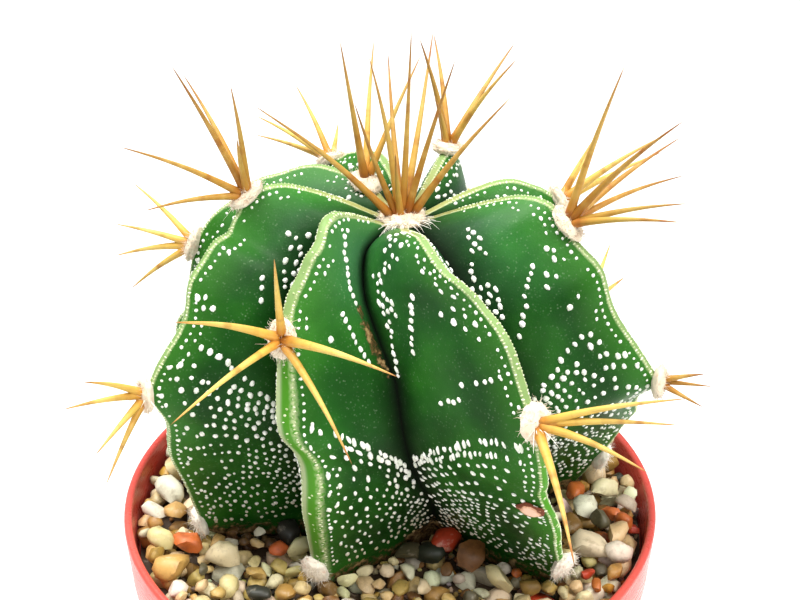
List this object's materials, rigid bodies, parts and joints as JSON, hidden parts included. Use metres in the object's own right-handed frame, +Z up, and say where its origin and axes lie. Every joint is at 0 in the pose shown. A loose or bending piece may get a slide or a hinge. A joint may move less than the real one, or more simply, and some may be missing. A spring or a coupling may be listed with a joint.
{
  "type": "potted monk's hood cactus",
  "caption": "Ribbed globe cactus with sprays of long amber spines on woolly areoles, in a round tapered nursery pot topped with gravel.",
  "frame": {"origin": "centre of the pot's flat underside", "axes": "+Z up along the pot's axis; -Y towards the side with the two widest visible ribs; +X to that viewer's right"},
  "size_m": [0.0955, 0.1021, 0.1611],
  "materials": {
    "pot": "satin",
    "soil": "matte",
    "gravel": "matte",
    "skin": "satin",
    "wool": "matte",
    "spine": "satin"
  },
  "bodies": {
    "root": {"gravel": "gravel", "pot": "pot", "soil": "soil", "spines_back_left_crown": "spine", "spines_back_left_mid": "spine", "spines_back_mid": "spine", "spines_back_middle_mid": "spine", "spines_back_right_mid": "spine", "spines_back_right_upper": "spine", "spines_back_upper": "spine", "spines_crown": "spine", "spines_front_left_mid": "spine", "spines_front_right_mid": "spine", "spines_left_mid": "spine", "spines_left_upper": "spine", "spines_right_mid": "spine", "spines_right_upper": "spine", "stem": "skin", "wool_back_foot": "wool", "wool_back_left_crown": "wool", "wool_back_left_foot": "wool", "wool_back_left_mid": "wool", "wool_back_mid": "wool", "wool_back_middle_foot": "wool", "wool_back_middle_mid": "wool", "wool_back_right_foot": "wool", "wool_back_right_mid": "wool", "wool_back_right_upper": "wool", "wool_back_upper": "wool", "wool_crown": "wool", "wool_front_left_foot": "wool", "wool_front_left_mid": "wool", "wool_front_right_foot": "wool", "wool_front_right_mid": "wool", "wool_left_foot": "wool", "wool_left_mid": "wool", "wool_left_upper": "wool", "wool_right_foot": "wool", "wool_right_mid": "wool", "wool_right_upper": "wool"}
  },
  "joints": []
}
